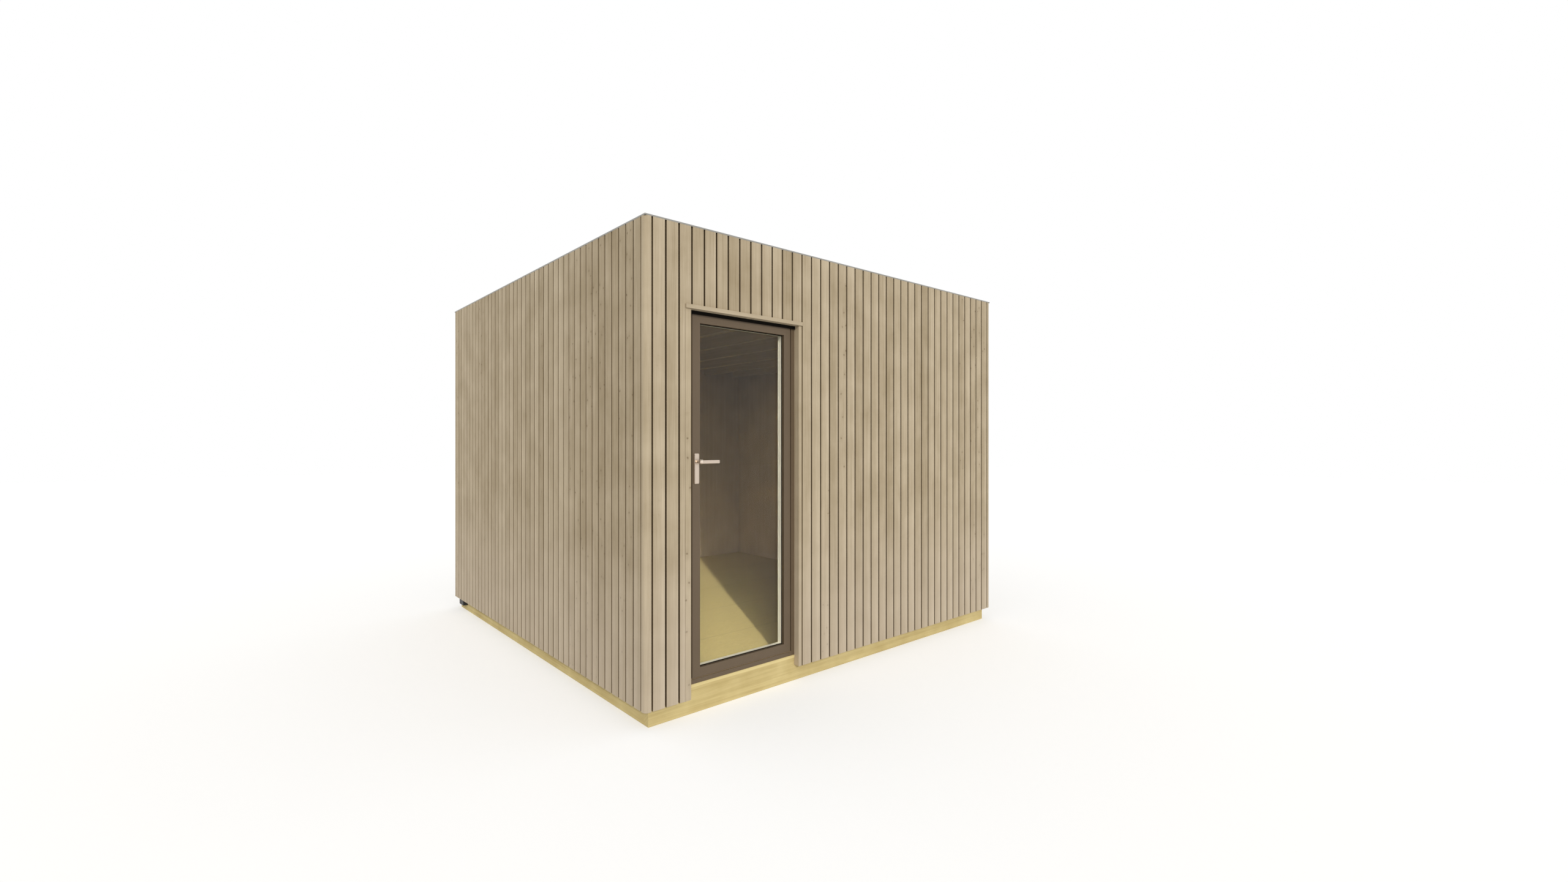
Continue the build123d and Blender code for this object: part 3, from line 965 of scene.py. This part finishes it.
class Piece:
    """One new mesh in the making."""

    def __init__(self, name: str) -> None:
        """Start an empty piece.

        Args:
            name: The object's name.
        """
        self.name = name
        self.shape = bmesh.new()
        self.board = self.shape.verts.layers.float.new("board")
        self.side = self.shape.verts.layers.float.new("side")

    def box(self, low: Vector, high: Vector, material: int = 0, board: float = 0.0) -> list[Face]:
        """Add a block.

        Args:
            low: Its lowest corner.
            high: Its highest corner.
            material: Which of the piece's materials it has.
            board: The number that tells its grain apart.

        Returns:
            Its faces.
        """
        matrix = Matrix.Translation((low + high) / 2) @ Matrix.Diagonal((*(high - low), 1.0))
        made = bmesh.ops.create_cube(self.shape, size=1.0, matrix=matrix)
        faces = {face for vert in made["verts"] for face in vert.link_faces}
        for vert in made["verts"]:
            vert[self.board] = board
        for face in faces:
            face.material_index = material
        return list(faces)

    def round_edges(self, edges: list[bmesh.types.BMEdge], radius: float) -> None:
        """Round some edges in two steps.

        Args:
            edges: The edges.
            radius: The radius.
        """
        bmesh.ops.bevel(
            self.shape,
            geom=edges,
            offset=radius,
            offset_type="OFFSET",
            segments=2,
            profile=0.5,
            affect="EDGES",
            material=-1,
            clamp_overlap=True,
        )

    def ring(self, low: Vector, high: Vector, width: float) -> None:
        """Add an upright rectangular ring that faces along Y.

        Args:
            low: Its lowest corner.
            high: Its highest corner.
            width: The width of its members.
        """
        middle = (low + high) / 2
        size = high - low
        turn = Matrix.Rotation(math.radians(90), 4, "X") @ Matrix.Diagonal((size.x, size.z, 1.0, 1.0))
        place = Matrix.Translation((middle.x, low.y, middle.z)) @ turn
        made = bmesh.ops.create_grid(self.shape, x_segments=1, y_segments=1, size=0.5, matrix=place)
        plate = made["verts"][0].link_faces[0]
        inset = bmesh.ops.inset_individual(self.shape, faces=[plate], thickness=width, use_even_offset=True)
        rim = inset["faces"]
        bmesh.ops.delete(self.shape, geom=[plate], context="FACES_ONLY")
        grown = bmesh.ops.extrude_face_region(self.shape, geom=rim)
        verts = [item for item in grown["geom"] if isinstance(item, bmesh.types.BMVert)]
        bmesh.ops.translate(self.shape, verts=verts, vec=(0.0, size.y, 0.0))
        faces = {face for vert in verts for face in vert.link_faces} | set(rim)
        bmesh.ops.recalc_face_normals(self.shape, faces=list(faces))

    def finish(self, body: str, slot: str, materials: list[Material]) -> bpy.types.Object:
        """Turn the mesh into an object that rides on a body.

        Args:
            body: The body it moves with.
            slot: The record's material slot; not used.
            materials: Its materials, in order.

        Returns:
            The object.
        """
        mesh = bpy.data.meshes.new(self.name)
        self.shape.to_mesh(mesh)
        self.shape.free()
        for material in materials:
            mesh.materials.append(material)
        piece = show(self.name, mesh)
        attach(piece, body)
        log.info("%s: %d faces on %s", self.name, len(mesh.polygons), body)
        return piece


@dataclass
class CladArea:
    """One clad area, and the piece that its boards and battens make.

    Attributes:
        node: The node that the piece stands for.
        outward: The way the area faces, in X and Y.
        tones: The numbers of the wall's first boards, where they aren't drawn.
        low: The area's lowest corner.
        high: The area's highest corner.
        piece: The piece.
    """

    node: str
    outward: tuple[int, int]
    tones: tuple[float, ...] = ()
    low: Vector = field(init=False)
    high: Vector = field(init=False)
    piece: Piece = field(init=False)

    def __post_init__(self) -> None:
        """Measure the area and start its piece."""
        self.low, self.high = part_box(self.node)
        self.piece = Piece(self.node + "_boards")

    @property
    def run(self) -> int:
        """The axis that the wall runs along: 0 for X and 1 for Y."""
        return 1 if self.outward[0] else 0

    def layer(self, near: float, far: float | None = None) -> tuple[Vector, Vector]:
        """Return the corners of one layer of the area.

        Args:
            near: How far the layer's face lies behind the area's face.
            far: How far its back lies behind that face, if it isn't the area's own back.

        Returns:
            The lowest and the highest corner.
        """
        low, high = self.low.copy(), self.high.copy()
        depth = 1 - self.run
        if self.outward[depth] > 0:
            high[depth] = self.high[depth] - near
            low[depth] = self.low[depth] if far is None else self.high[depth] - far
        else:
            low[depth] = self.low[depth] + near
            high[depth] = self.high[depth] if far is None else self.low[depth] + far
        return low, high


@dataclass
class Cladding:
    """Open-jointed upright boards on battens, one piece for each clad area.

    Attributes:
        pitch: The distance from one gap to the next.
        gap: The width of a gap.
        first_gap: From a wall's corner to the middle of its first gap.
        board_depth: The thickness of a board.
        edge_radius: The round on a board's front edges.
        batten_height: The height of a batten.
        batten_rows: The lowest edge of each batten.
        trim_gap: The gap between the narrow board and the left door trim.
        shallow_depth: How deep the gap beside the right door trim is.
        shallow_tone: The number of the strip at its bottom.
        setback: How far a board may lie behind the rest.
        corner_tones: The numbers of the front's first boards beside the door's corner.
        side_tones: The numbers of the first boards round that corner.
        materials: The materials of the boards and of the battens.
        draw: The source of random numbers.
    """

    pitch: float = 0.080
    gap: float = 0.010
    first_gap: float = 0.0425
    board_depth: float = 0.018
    edge_radius: float = 0.002
    batten_height: float = 0.045
    batten_rows: tuple[float, ...] = (0.13, 0.56, 1.0, 1.44, 1.88, 2.24, 2.54)
    trim_gap: float = 0.0008
    shallow_depth: float = 0.006
    shallow_tone: float = 0.4
    setback: float = 0.0007
    corner_tones: tuple[float, ...] = (0.93, 0.48, 0.66)
    side_tones: tuple[float, ...] = (0.34, 0.12, 0.22, 0.06, 0.31, 0.09, 0.27)
    materials: list[Material] = field(default_factory=list)
    draw: random.Random = field(default_factory=lambda: random.Random(41))

    def build(self) -> None:
        """Make the boards of all four walls."""
        self.materials = [CLADDING.material(), BATTEN.material()]
        self.front()
        for area in (
            CladArea("left_cladding", (-1, 0), self.side_tones),
            CladArea("right_cladding", (1, 0)),
            CladArea("back_cladding", (0, 1)),
        ):
            for index, span in enumerate(self.spans(area.run)):
                self.place(area, index, span)
            self.close(area)

    def front(self) -> None:
        """Board the front wall round its doorway."""
        left, over, right = (
            CladArea("front_cladding_" + name, (0, -1), self.corner_tones)
            for name in ("left", "over_door", "right")
        )
        for index, (start, end) in enumerate(self.spans(0)):
            if end < left.high.x:
                self.place(left, index, (start, end))
            elif start > right.low.x:
                self.place(right, index, (start, end))
            else:
                self.place(over, index, (start, end))
                if start < left.high.x:
                    self.place(left, index, (start, left.high.x - self.trim_gap), over.low.z)
        strip_low, strip_high = right.layer(self.shallow_depth, self.board_depth)
        strip_high.x = right.low.x + self.gap
        right.piece.box(strip_low, strip_high, 0, self.shallow_tone)
        for area in (left, right, over):
            self.close(area)

    def spans(self, run: int) -> list[Span]:
        """Return where each board of a whole wall begins and ends.

        Args:
            run: The axis the wall runs along.

        Returns:
            A pair of places for each board.
        """
        low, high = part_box("roof_edge_trim")
        count = round((high[run] - low[run] - 2 * self.first_gap) / self.pitch)
        first = low[run] + self.first_gap + self.gap / 2
        width = self.pitch - self.gap
        return [(first + index * self.pitch, first + index * self.pitch + width) for index in range(count)]

    def place(self, area: CladArea, index: int, span: Span, top: float | None = None) -> None:
        """Put one board in its place on a wall, with its front edges rounded.

        Args:
            area: The clad area.
            index: The board's place in the row.
            span: Where the board begins and ends along the wall.
            top: Where it ends, if that isn't the area's top.
        """
        low, high = area.layer(self.draw.uniform(0.0, self.setback), self.board_depth)
        low[area.run], high[area.run] = span
        high.z = high.z if top is None else top
        drawn = self.draw.random()
        number = area.tones[index] if index < len(area.tones) else drawn
        shape = area.piece.shape
        known = set(shape.verts)
        faces = area.piece.box(low, high)
        outward = Vector((*area.outward, 0.0))
        front = max(faces, key=lambda face: face.calc_center_median().dot(outward))
        upright = [edge for edge in front.edges if abs(edge.verts[0].co.z - edge.verts[1].co.z) > self.gap]
        area.piece.round_edges(upright, self.edge_radius)
        for vert in set(shape.verts) - known:
            vert[area.piece.board] = number
            vert[area.piece.side] = (vert.co[area.run] - low[area.run]) / (high[area.run] - low[area.run])

    def close(self, area: CladArea) -> None:
        """Add the level battens behind an area's boards, and finish its piece.

        Args:
            area: The clad area.
        """
        for row in self.batten_rows:
            if row >= area.low.z and row + self.batten_height <= area.high.z:
                low, high = area.layer(self.board_depth)
                low.z, high.z = row, row + self.batten_height
                area.piece.box(low, high, 1)
        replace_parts(area.piece.finish("building", "cladding_wood", self.materials), area.node)


@dataclass
class Glazing:
    """The glazing unit: two panes, the bar between them and the gaskets round them.

    Attributes:
        pane: The thickness of a pane.
        bar_width: The width of the bar between the panes.
        bar_lap: How far the inner pane laps the bar.
        bar_gap: The gap between the outer pane and the bar.
        gasket_width: How far a gasket shows.
        gasket_depth: How far a gasket stands off the glass.
        gasket_inset: How far it lies inside the beads' outline.
        gasket_gap: The gap between it and the glass.
    """

    pane: float = 0.004
    bar_width: float = 0.0105
    bar_lap: float = 0.0005
    bar_gap: float = 0.0003
    gasket_width: float = 0.004
    gasket_depth: float = 0.003
    gasket_inset: float = 0.012
    gasket_gap: float = 0.0002

    def build(self) -> None:
        """Make the panes, the bar and the gaskets."""
        low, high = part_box("glass_pane")
        panes = Piece("glass_panes")
        panes.box(low, Vector((high.x, low.y + self.pane, high.z)))
        inset = Vector((self.bar_width - self.bar_lap, 0.0, self.bar_width - self.bar_lap))
        panes.box(Vector((low.x, high.y - self.pane, low.z)) + inset, high - inset)
        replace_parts(panes.finish("leaf", "door_glass", [GLASS.material()]), "glass_pane")

        bar = Piece("glass_spacer_bar")
        bar.ring(low + Vector((0.0, self.pane + self.bar_gap, 0.0)), high, self.bar_width)
        bar.finish("leaf", "bead_pale", [BEAD.material()])

        bead_low, bead_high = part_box("glazing_beads")
        inset = self.gasket_inset
        rim_low = Vector((bead_low.x + inset, low.y - self.gasket_depth, bead_low.z + inset))
        rim_high = Vector((bead_high.x - inset, low.y - self.gasket_gap, bead_high.z - inset))
        rim = Piece("glass_gaskets")
        rim.ring(rim_low, rim_high, self.gasket_width)
        rim.finish("leaf", "seal_black", [GASKET_AND_SHADOW_BLACK.material()])


@dataclass
class RoofLaps:
    """The welded laps between the sheets of the roof membrane.

    Attributes:
        sheet: The width of a sheet.
        width: The width of a lap.
        thickness: How far a lap stands up.
        margin: How far a lap ends from the upstand.
        edge: The round on a lap's long edges.
    """

    sheet: float = 1.0
    width: float = 0.050
    thickness: float = 0.0025
    margin: float = 0.012
    edge: float = 0.0011

    def build(self) -> None:
        """Make the laps and lay them on the sloping roof."""
        low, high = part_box("roof_insulation")
        start, end = low.y + self.margin, high.y - self.margin
        count = int((high.x - low.x) / self.sheet)
        first = (low.x + high.x) / 2 - (count - 1) * self.sheet / 2
        piece = Piece("roof_membrane_laps")
        for index in range(count):
            middle = first + index * self.sheet
            corner = Vector((middle - self.width / 2, start, 0.0))
            faces = piece.box(corner, Vector((middle + self.width / 2, end, self.thickness)))
            for vert in {vert for face in faces for vert in face.verts}:
                vert.co.z += self.surface(middle, start if vert.co.y < (start + end) / 2 else end)
            top = max(faces, key=lambda face: face.calc_center_median().z)
            piece.round_edges([edge for edge in top.edges if edge.calc_length() > self.sheet], self.edge)
        piece.finish("building", "roof_membrane", [MEMBRANE.material()])

    def surface(self, x: float, y: float) -> float:
        """Return the height of the membrane's upper face at one place.

        Args:
            x: The place along X.
            y: The place along Y.

        Returns:
            The height there, or the membrane's highest where there is none.
        """
        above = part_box("roof_membrane")[1].z
        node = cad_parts["roof_membrane"]
        found, place, _, _ = node.ray_cast((x, y, above + 1.0), (0.0, 0.0, -1.0))
        return place.z if found else above


class Dressing:
    """Gives the carried-over nodes their materials."""

    def build(self) -> None:
        """Dress each node that is still shown."""
        trims = [f"corner_trim_{end}_{side}" for end in ("front", "back") for side in ("left", "right")]
        walls = [f"front_wall_{part}" for part in ("left", "right", "over_door")]
        frame = [f"frame_{part}" for part in ("jamb_left", "jamb_right", "head", "threshold")]
        leaf = [f"leaf_{part}" for part in ("lock_stile", "hinge_stile", "top_rail", "bottom_rail")]
        plates = ["handle_plate_outside", "handle_plate_inside"]
        chosen: list[tuple[Finish, list[str]]] = [
            (BASE_ALONG_X, ["base_front_bearer", "base_back_bearer"]),
            (BASE_ALONG_Y, ["base_left_bearer", "base_right_bearer", "floor_joists"]),
            (SILL, ["door_sill"]),
            (FLOOR, ["floor_panel", "roof_deck"]),
            (WALL, ["left_wall", "right_wall", "back_wall", *walls]),
            (TRIM, [*trims, "door_trim_right"]),
            (KNOTTY_TRIM, ["door_trim_left"]),
            (HEADER, ["door_header_trim"]),
            (ROOF_TIMBER, ["roof_joists"]),
            (FOAM, ["roof_insulation"]),
            (MEMBRANE, ["roof_membrane"]),
            (EDGE_METAL, ["roof_edge_trim"]),
            (FRAME, frame + leaf),
            (BEAD, ["glazing_beads"]),
            # head_seal: a near-black strip under the header, painted shadow where the header's shadow falls.
            (GASKET_AND_SHADOW_BLACK, ["head_seal"]),
            (HANDLE, [*plates, "lever_outside", "lever_inside", "spindle"]),
            (HINGE, ["leaf_hinges", "frame_hinges"]),
            (BLACK, ["cable_entry_box"]),
        ]
        for finish, nodes in chosen:
            material = finish.material()
            for node in nodes:
                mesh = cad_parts[node].data
                mesh.materials.clear()
                mesh.materials.append(material)
                log.info("%s: %s", node, material.name)


@dataclass(frozen=True)
class StudioFloor(Finish):
    """The pale floor, which keeps the object's shadow and shows as white.

    Attributes:
        colour: Its own colour.
        glow: How much white is added where it is seen.
    """

    colour: Colour = (0.85, 0.85, 0.84, 1.0)
    glow: float = 0.32

    def dress(self, graph: ShaderGraph, shader: Node) -> None:
        """Give a material the floor's nodes.

        Args:
            graph: The material's graph.
            shader: Its Principled shader.
        """
        settings = {
            "Base Color": self.colour,
            "Roughness": 0.9,
            "Specular IOR Level": 0.0,
            "Emission Color": (1.0, 1.0, 1.0, 1.0),
            "Emission Strength": graph.seen_directly(self.glow),
        }
        for label, source in settings.items():
            graph.feed(shader.inputs[label], source)


@dataclass
class Studio:
    """The floor, the lights and the camera.

    Attributes:
        camera_at: Where the camera stands.
        camera_turn: How far it is turned to the right, in degrees.
        lens: The focal length, in millimetres.
        sensor: The width of the sensor, in millimetres.
        sun_run: The way the key light travels, in X and Y.
        sun_height: The key light's height over the horizon, in degrees.
        sun_strength: The key light's strength.
        sun_spread: The key light's width, in degrees.
        sun_colour: The key light's colour.
        sky_strength: The strength of the even light from all sides.
        floor_size: The length of the studio floor's sides.
        floor_drop: How far the floor lies under the object.
        room_sun_strength: The strength of the key light's share that falls through the glass.
        fill_power: The power of the soft light in the room, in watts.
        fill_size: The length of that light's sides.
        fill_drop: How far it hangs under the joists.
        fill_colour: Its colour.
    """

    camera_at: tuple[float, float, float] = (-3.2535, -4.6045, 1.471)
    camera_turn: float = 41.45
    lens: float = 15.0
    sensor: float = 36.0
    sun_run: Span = (0.44, 0.90)
    sun_height: float = 24.0
    sun_strength: float = 1.25
    sun_spread: float = 1.2
    sun_colour: tuple[float, float, float] = (1.0, 0.98, 0.95)
    sky_strength: float = 0.68
    floor_size: float = 60.0
    floor_drop: float = 0.0005
    room_sun_strength: float = 2.6
    fill_power: float = 6.0
    fill_size: float = 1.6
    fill_drop: float = 0.01
    fill_colour: tuple[float, float, float] = (1.0, 0.95, 0.86)

    def build(self) -> None:
        """Make the floor, the lights and the camera."""
        self.floor()
        self.sky()
        self.sun("key_light", self.sun_strength)
        self.room_light()
        self.camera()

    def floor(self) -> None:
        """Make the pale floor."""
        shape = bmesh.new()
        below = Matrix.Translation((0.0, 0.0, -self.floor_drop))
        bmesh.ops.create_grid(shape, x_segments=1, y_segments=1, size=self.floor_size / 2, matrix=below)
        mesh = bpy.data.meshes.new("studio_floor")
        shape.to_mesh(mesh)
        shape.free()
        mesh.materials.append(StudioFloor("studio_floor").material())
        show("studio_floor", mesh)

    def sky(self) -> None:
        """Make the even light and the white background."""
        world = bpy.data.worlds.new("studio")
        bpy.context.scene.world = world
        world.use_nodes = True
        graph = ShaderGraph(world.node_tree)
        background = world.node_tree.nodes["Background"]
        background.inputs["Color"].default_value = (1.0, 1.0, 1.0, 1.0)
        extra = graph.seen_directly(1.0 - self.sky_strength)
        graph.feed(background.inputs["Strength"], graph.plus(extra, self.sky_strength))

    def sun(self, name: str, strength: float) -> bpy.types.Object:
        """Add a sun that travels the key light's way.

        Args:
            name: Its name.
            strength: Its strength.

        Returns:
            The light.
        """
        lamp = bpy.data.lights.new(name, "SUN")
        lamp.energy = strength
        lamp.angle = math.radians(self.sun_spread)
        lamp.color = self.sun_colour
        light = show(name, lamp)
        height = math.radians(self.sun_height)
        run = Vector((*self.sun_run, 0.0)).normalized() * math.cos(height)
        travel = Vector((run.x, run.y, -math.sin(height)))
        light.rotation_euler = travel.to_track_quat("-Z", "Y").to_euler()
        return light

    def receivers(self, name: str, nodes: tuple[str, ...]) -> bpy.types.Collection:
        """Collect the nodes that a lamp in the room lights.

        Args:
            name: The collection's name.
            nodes: The nodes.

        Returns:
            The collection.
        """
        made = bpy.data.collections.new(name)
        for node in nodes:
            made.objects.link(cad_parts[node])
        return made

    def room_light(self) -> None:
        """Light the room: a stronger key light on its floor and a soft light under its ceiling."""
        walls = ("left_wall", "right_wall", "back_wall")
        sun = self.sun("room_key_light", self.room_sun_strength)
        sun.light_linking.receiver_collection = self.receivers("room_surfaces", ("floor_panel", *walls))
        lamp = bpy.data.lights.new("room_fill", "AREA")
        lamp.energy = self.fill_power
        lamp.size = self.fill_size
        lamp.color = self.fill_colour
        fill = show("room_fill", lamp)
        upper = self.receivers("room_upper_surfaces", (*walls, "roof_joists", "roof_deck"))
        fill.light_linking.receiver_collection = upper
        low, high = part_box("roof_joists")
        fill.location = ((low.x + high.x) / 2, (low.y + high.y) / 2, low.z - self.fill_drop)
        fill.visible_camera = fill.visible_glossy = fill.visible_transmission = False

    def camera(self) -> None:
        """Make the camera at the photograph's viewing angle."""
        lens = bpy.data.cameras.new("camera")
        lens.lens = self.lens
        lens.sensor_width = self.sensor
        lens.sensor_fit = "HORIZONTAL"
        lens.clip_end = 200.0
        camera = show("camera", lens)
        camera.location = self.camera_at
        camera.rotation_euler = (math.radians(90.0), 0.0, -math.radians(self.camera_turn))
        bpy.context.scene.camera = camera


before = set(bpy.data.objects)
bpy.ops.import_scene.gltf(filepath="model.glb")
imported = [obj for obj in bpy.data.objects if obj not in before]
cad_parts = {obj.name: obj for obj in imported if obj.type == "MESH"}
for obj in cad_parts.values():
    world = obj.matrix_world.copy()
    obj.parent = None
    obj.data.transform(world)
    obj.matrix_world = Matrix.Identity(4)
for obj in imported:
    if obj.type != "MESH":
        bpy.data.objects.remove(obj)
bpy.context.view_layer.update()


def main() -> None:
    """Build everything in order."""
    bpy.context.scene.view_settings.view_transform = "Standard"
    for part in (Studio(), Cladding(), Glazing(), RoofLaps(), Dressing()):
        log.info("building %s", type(part).__name__)
        part.build()


if __name__ == "__main__":
    main()
